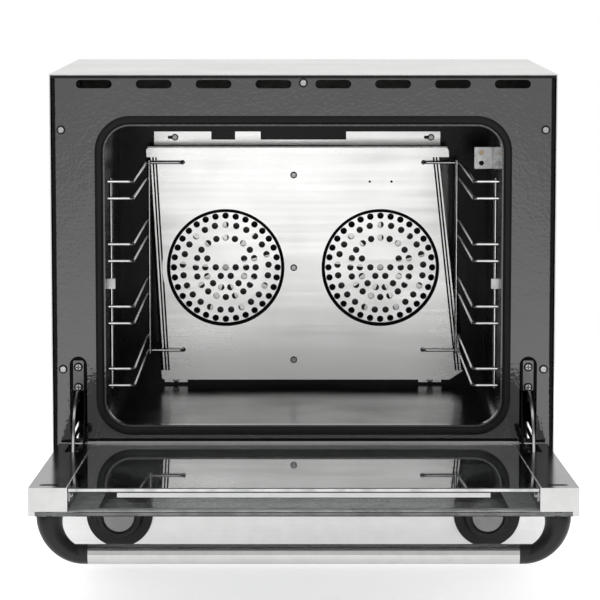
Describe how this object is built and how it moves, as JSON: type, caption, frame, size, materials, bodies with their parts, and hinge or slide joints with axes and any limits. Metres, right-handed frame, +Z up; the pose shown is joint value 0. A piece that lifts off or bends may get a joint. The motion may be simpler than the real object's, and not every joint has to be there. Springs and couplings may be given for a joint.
{
  "type": "counter-top convection oven",
  "caption": "Counter-top convection oven with a drop-down double-glass door, enamelled chamber, wire shelf rails, perforated fan guards and turning control knobs.",
  "frame": {"origin": "on the floor, at the middle of the box round the oven with its door open", "axes": "+Z up, -Y out of the front towards the open door, +X to the right seen from the front"},
  "size_m": [0.595, 0.9232, 0.585],
  "materials": {
    "stainless_casing": "brushed stainless sheet",
    "zinc_sheet": "zinc-coated sheet",
    "black_enamel": "glossy black enamel, slightly rippled",
    "stainless_panel": "brushed stainless sheet",
    "stainless_chamber": "brushed stainless sheet",
    "bright_trim": "bright steel",
    "plated_wire": "bright nickel plate",
    "plated_screw": "zinc plate, bright",
    "plated_steel": "zinc plate, dull",
    "door_trim": "brushed stainless sheet",
    "copper_bulb": "nickel-washed copper",
    "gasket": "matt black silicone",
    "wool": "mineral wool",
    "clear_glass": "clear toughened glass",
    "tinted_glass": "toughened glass with a dark printed border",
    "black_plastic": "satin black heat-resistant plastic",
    "knob_cap": "satin grey",
    "foot_rubber": "matt black",
    "switch_body": "cream moulding",
    "lamp_lens": "amber lens",
    "motor_paint": "grey paint",
    "fan_sheet": "mill finish",
    "element_sheath": "heat-darkened sheath"
  },
  "bodies": {
    "oven": {"baffle_screws": "plated_screw", "baffle_spacers": "plated_steel", "base_pan": "zinc_sheet", "bulb_bracket": "plated_steel", "cable_gland": "black_plastic", "chamber_liner": "black_enamel", "control_panel": "stainless_panel", "door_gasket": "gasket", "fan_baffle": "stainless_chamber", "feet": "foot_rubber", "front_panel": "black_enamel", "front_screws": "plated_screw", "indicator_lamps": "lamp_lens", "insulation_wrap": "wool", "left_fan_guard": "stainless_chamber", "left_fan_motor": "motor_paint", "left_heating_element": "element_sheath", "left_hinge_bracket": "plated_steel", "left_shelf_rail": "plated_wire", "left_side_panel": "stainless_casing", "motor_standoffs": "plated_steel", "mouth_ring": "bright_trim", "rail_clips": "plated_steel", "rear_panel": "zinc_sheet", "right_fan_guard": "stainless_chamber", "right_fan_motor": "motor_paint", "right_heating_element": "element_sheath", "right_hinge_bracket": "plated_steel", "right_shelf_rail": "plated_wire", "right_side_panel": "stainless_casing", "terminal_block": "black_plastic", "thermostat_bulb": "copper_bulb", "thermostat_switch": "switch_body", "timer_switch": "switch_body", "top_panel": "stainless_casing"},
    "door": {"left_door_stile": "stainless_panel", "right_door_stile": "stainless_panel", "outer_glass": "tinted_glass", "inner_glass": "clear_glass", "glass_retainer": "door_trim", "heel_rail": "door_trim", "glass_clips": "plated_steel", "left_hinge_arm": "plated_steel", "right_hinge_arm": "plated_steel", "hinge_pins": "plated_steel", "handle_tube": "bright_trim", "left_handle_elbow": "black_plastic", "right_handle_elbow": "black_plastic", "handle_bolts": "plated_steel"},
    "timer_dial": {"timer_knob": "black_plastic", "timer_knob_cap": "knob_cap", "timer_stem": "plated_steel"},
    "thermostat_dial": {"thermostat_knob": "black_plastic", "thermostat_knob_cap": "knob_cap", "thermostat_stem": "plated_steel"},
    "left_fan": {"left_fan_wheel": "fan_sheet", "left_fan_shaft": "plated_steel"},
    "right_fan": {"right_fan_wheel": "fan_sheet", "right_fan_shaft": "plated_steel"}
  },
  "joints": [
    {"name": "door_hinge", "type": "hinge", "parent": "oven", "child": "door", "pos_m": [0, -0.05438, 0.136], "axis": [-1, 0, 0], "range_deg": [0, 87.06]},
    {"name": "timer_turn", "type": "hinge", "parent": "oven", "child": "timer_dial", "pos_m": [-0.218, -0.03338, 0.064], "axis": [0, 1, 0], "range_deg": [0, 330]},
    {"name": "thermostat_turn", "type": "hinge", "parent": "oven", "child": "thermostat_dial", "pos_m": [0.218, -0.03338, 0.064], "axis": [0, 1, 0], "range_deg": [0, 300]},
    {"name": "left_fan_spin", "type": "hinge", "parent": "oven", "child": "left_fan", "pos_m": [-0.1, 0.33262, 0.3213], "axis": [0, 1, 0], "continuous": true},
    {"name": "right_fan_spin", "type": "hinge", "parent": "oven", "child": "right_fan", "pos_m": [0.1, 0.33262, 0.3213], "axis": [0, 1, 0], "continuous": true}
  ]
}
